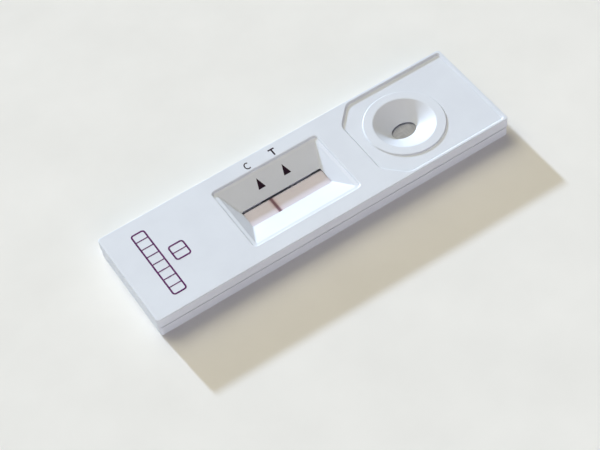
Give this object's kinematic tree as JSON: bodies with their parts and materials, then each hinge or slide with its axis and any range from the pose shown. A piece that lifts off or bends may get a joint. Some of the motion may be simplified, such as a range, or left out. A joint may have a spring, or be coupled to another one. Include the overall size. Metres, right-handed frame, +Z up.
{
  "type": "lateral flow cassette",
  "caption": "Flat white plastic test cassette with a sloped read window over a test strip and a round funnel-shaped sample well at one end.",
  "frame": {"origin": "middle of the underside, on the surface that the cassette lies on", "axes": "+X along the cassette towards the sample well, +Y across it towards the side with the marks beside the window, +Z up"},
  "size_m": [0.07, 0.0204, 0.0045],
  "materials": {
    "shell": "satin white polystyrene",
    "card": "smooth white card",
    "membrane": "fine porous membrane, lightly stained",
    "pad": "pressed fibre pad",
    "conjugate": "glass fibre pad with dried dye",
    "print": "dark purple pad print"
  },
  "bodies": {
    "root": {"top_shell": "shell", "bottom_shell": "shell", "backing_card": "card", "membrane": "membrane", "absorbent_pad": "pad", "conjugate_pad": "conjugate", "sample_pad": "pad"}
  },
  "joints": []
}
